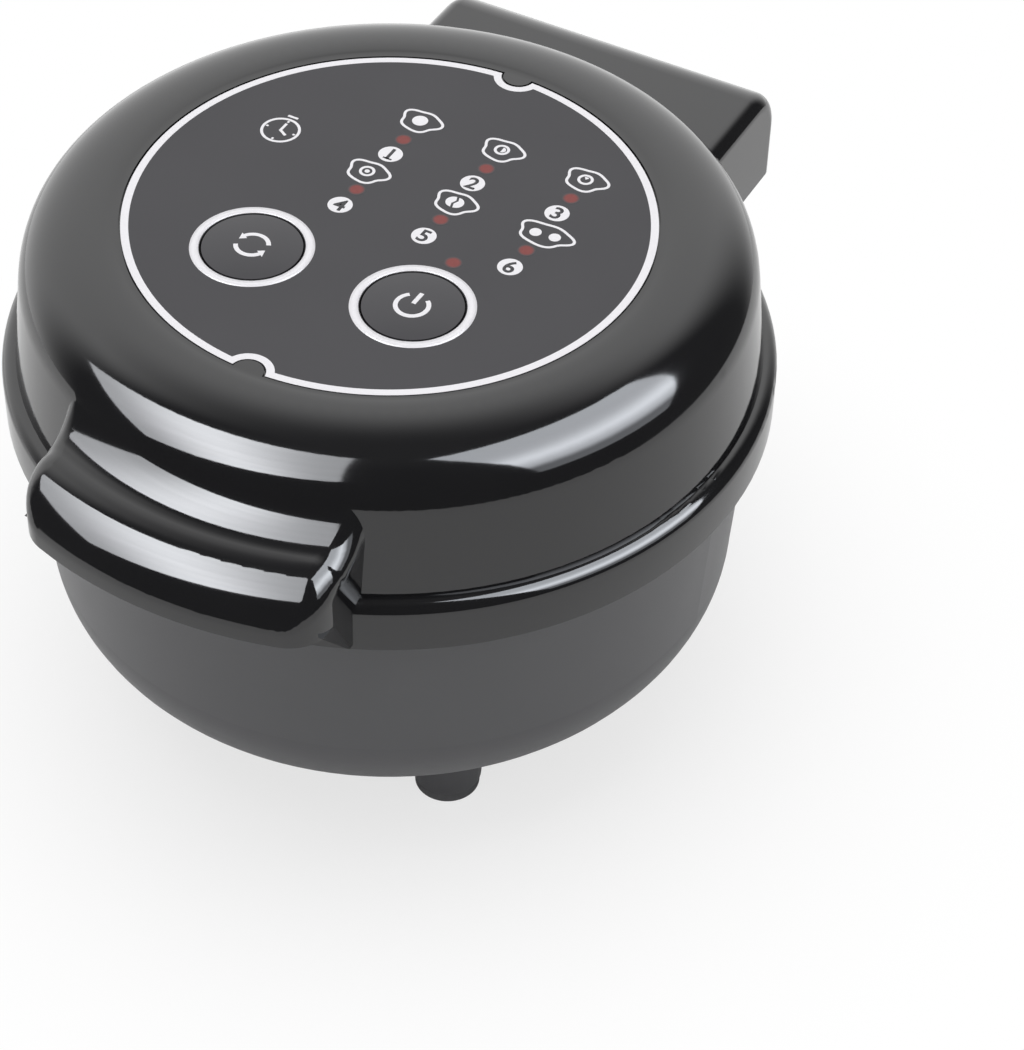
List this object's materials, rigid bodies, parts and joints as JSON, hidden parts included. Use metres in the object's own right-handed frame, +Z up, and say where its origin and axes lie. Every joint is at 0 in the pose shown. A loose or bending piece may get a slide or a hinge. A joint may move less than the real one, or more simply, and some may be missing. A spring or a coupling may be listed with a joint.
{
  "type": "electric egg cooker",
  "caption": "Round electric egg cooker with a hinged domed lid, front handle, push buttons and lamps on top, a coated pan inside and four short legs.",
  "frame": {"origin": "on the bowl's axis at table height, under the four legs", "axes": "+Z up, +Y towards the hinge, +X to the right of someone who faces the handle"},
  "size_m": [0.135, 0.166, 0.1017],
  "materials": {
    "satin_black_plastic": "satin moulded black",
    "gloss_black_plastic": "polished piano black",
    "speckled_black_plastic": "matt black with a fine speckle",
    "non_stick_coating": "speckled dark non-stick coating on aluminium",
    "panel_overlay": "semi-gloss black printed overlay",
    "black_rubber": "matt",
    "element_steel": "bright steel",
    "shield_steel": "galvanised sheet",
    "screw_steel": "zinc plated",
    "board_laminate": "green laminate",
    "component_black": "moulded",
    "component_yellow": "moulded",
    "component_white": "moulded",
    "wire_silicone": "silicone sleeve",
    "lamp_red": "red diffused lens"
  },
  "bodies": {
    "base": {"base_housing": "satin_black_plastic", "base_ring": "speckled_black_plastic", "lower_pan": "non_stick_coating", "lower_heating_element": "element_steel", "lower_heat_shield": "shield_steel", "lower_thermostat": "element_steel", "thermal_fuse": "element_steel", "power_board": "board_laminate", "power_relay": "component_black", "filter_capacitor": "component_yellow", "transformer": "component_yellow", "terminal_block": "component_white", "power_board_screws": "screw_steel", "base_wiring": "wire_silicone", "cord_gland": "black_rubber", "tie_screws": "screw_steel", "foot_pads": "black_rubber", "hinge_pins": "screw_steel"},
    "lid": {"lid_shell": "gloss_black_plastic", "lid_inner_cover": "speckled_black_plastic", "upper_plate": "non_stick_coating", "upper_heating_element": "element_steel", "upper_heat_shield": "shield_steel", "upper_thermostat": "element_steel", "control_board": "board_laminate", "control_board_screws": "screw_steel", "microcontroller": "component_black", "buzzer": "component_black", "loom_connector": "component_white", "select_switch": "component_black", "start_switch": "component_black", "status_leds": "lamp_red", "lid_screws": "screw_steel", "shield_screws": "screw_steel", "lid_wiring": "wire_silicone", "control_panel": "panel_overlay"},
    "select_button": {"select_button": "panel_overlay"},
    "start_button": {"start_button": "panel_overlay"}
  },
  "joints": [
    {"name": "lid_hinge", "type": "hinge", "parent": "base", "child": "lid", "pos_m": [0, 0.076, 0.0685], "axis": [-1, 0, 0], "range_deg": [0, 100]},
    {"name": "select_press", "type": "slide", "parent": "lid", "child": "select_button", "axis": [0, 0, -1], "range_m": [0, 0.0007], "stiffness_N_per_m": 1500, "springref_m": -0.0007},
    {"name": "start_press", "type": "slide", "parent": "lid", "child": "start_button", "axis": [0, 0, -1], "range_m": [0, 0.0007], "stiffness_N_per_m": 1500, "springref_m": -0.0007}
  ]
}
